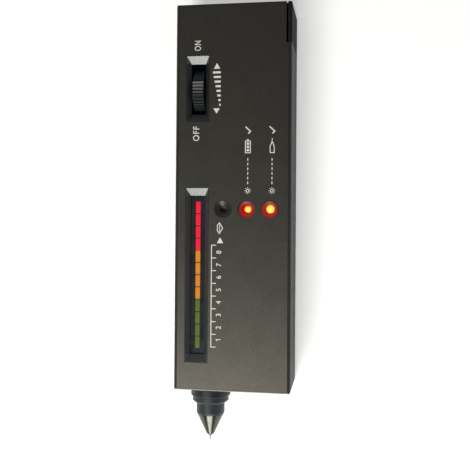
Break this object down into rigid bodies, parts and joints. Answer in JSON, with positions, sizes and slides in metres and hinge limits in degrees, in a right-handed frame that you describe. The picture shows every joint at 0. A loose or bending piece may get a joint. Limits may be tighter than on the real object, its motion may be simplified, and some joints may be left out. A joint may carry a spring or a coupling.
{
  "type": "gemstone tester pen",
  "caption": "Flat hand-held gemstone tester with a sprung metal probe, a colour light bar, signal lamps, a sound hole, a thumbwheel for volume and power, and a sliding battery cover.",
  "frame": {"origin": "centre of the whole pen's footprint, on the back face it lies on", "axes": "+Z out of the front panel, +Y along the body to the battery end, +X to the battery cover's side flange; the probe points to -Y"},
  "size_m": [0.0404, 0.1538, 0.0232],
  "materials": {
    "case_abs": "moulded black ABS, fine satin, glossier in the window bevels",
    "plate_paint": "aluminium sheet with warm grey satin paint",
    "cover_abs": "moulded black ABS, satin",
    "foam": "closed-cell foam",
    "holder_abs": "black ABS",
    "light_red": "tinted diffusing epoxy, lit",
    "light_amber": "tinted diffusing epoxy, lit",
    "light_green": "tinted diffusing epoxy",
    "lamp_red": "red tinted epoxy, lit",
    "nylon": "natural nylon",
    "buzzer_abs": "black ABS",
    "board_epoxy": "glass epoxy with green solder mask",
    "chip_epoxy": "moulded epoxy",
    "can_sleeve": "sleeved aluminium can",
    "resistor_body": "lacquered ceramic",
    "trimmer_blue": "blue thermoplastic",
    "wheel_abs": "moulded black ABS",
    "phenolic": "phenolic",
    "lead_grey": "vinyl insulation",
    "lead_red": "vinyl insulation",
    "lead_black": "vinyl insulation",
    "battery_jacket": "lacquered metal jacket",
    "snap_vinyl": "black vinyl",
    "nose_abs": "turned black plastic, half gloss",
    "nickel": "nickel-plated brass, turned",
    "copper": "bare copper",
    "brass": "turned brass",
    "spring_steel": "spring steel wire",
    "zinc_steel": "zinc-plated steel"
  },
  "bodies": {
    "pen": {"front_case": "case_abs", "rear_case": "case_abs", "face_plate": "plate_paint", "light_holder": "holder_abs", "battery_lamp": "lamp_red", "ready_lamp": "lamp_red", "lamp_spacers": "nylon", "buzzer": "buzzer_abs", "circuit_board": "board_epoxy", "driver_chip": "chip_epoxy", "amplifier_chip": "chip_epoxy", "capacitors": "can_sleeve", "resistors": "resistor_body", "trimmer": "trimmer_blue", "probe_header": "nylon", "potentiometer": "phenolic", "pot_board": "board_epoxy", "pot_leads": "lead_grey", "battery": "battery_jacket", "battery_snap": "snap_vinyl", "battery_lead_red": "lead_red", "battery_lead_black": "lead_black", "nose_collar": "nose_abs", "nose_sleeve": "nose_abs", "tip_cone": "nickel", "probe_spring": "spring_steel", "spring_seat": "brass", "probe_leads": "lead_grey", "case_screws": "zinc_steel", "board_screws": "zinc_steel", "light_red_1": "light_red", "light_red_2": "light_red", "light_red_3": "light_red", "light_red_4": "light_red", "light_amber_1": "light_amber", "light_amber_2": "light_amber", "light_amber_3": "light_amber", "light_amber_4": "light_amber", "light_green_1": "light_green", "light_green_2": "light_green", "light_green_3": "light_green", "light_green_4": "light_green"},
    "wheel": {"volume_wheel": "wheel_abs"},
    "probe": {"probe_needle": "copper", "probe_plunger": "brass"},
    "cover": {"battery_cover": "cover_abs", "cover_pad": "foam"}
  },
  "joints": [
    {"name": "volume_turn", "type": "hinge", "parent": "pen", "child": "wheel", "pos_m": [-0.0124, 0.04755, 0.0142], "axis": [1, 0, 0], "range_deg": [-135, 135]},
    {"name": "probe_press", "type": "slide", "parent": "pen", "child": "probe", "axis": [0, 1, 0], "range_m": [0, 0.0015], "stiffness_N_per_m": 600, "springref_m": -0.001, "deforming": ["probe_spring"]},
    {"name": "cover_slide", "type": "slide", "parent": "pen", "child": "cover", "axis": [0, 1, 0], "range_m": [0, 0.056]}
  ]
}
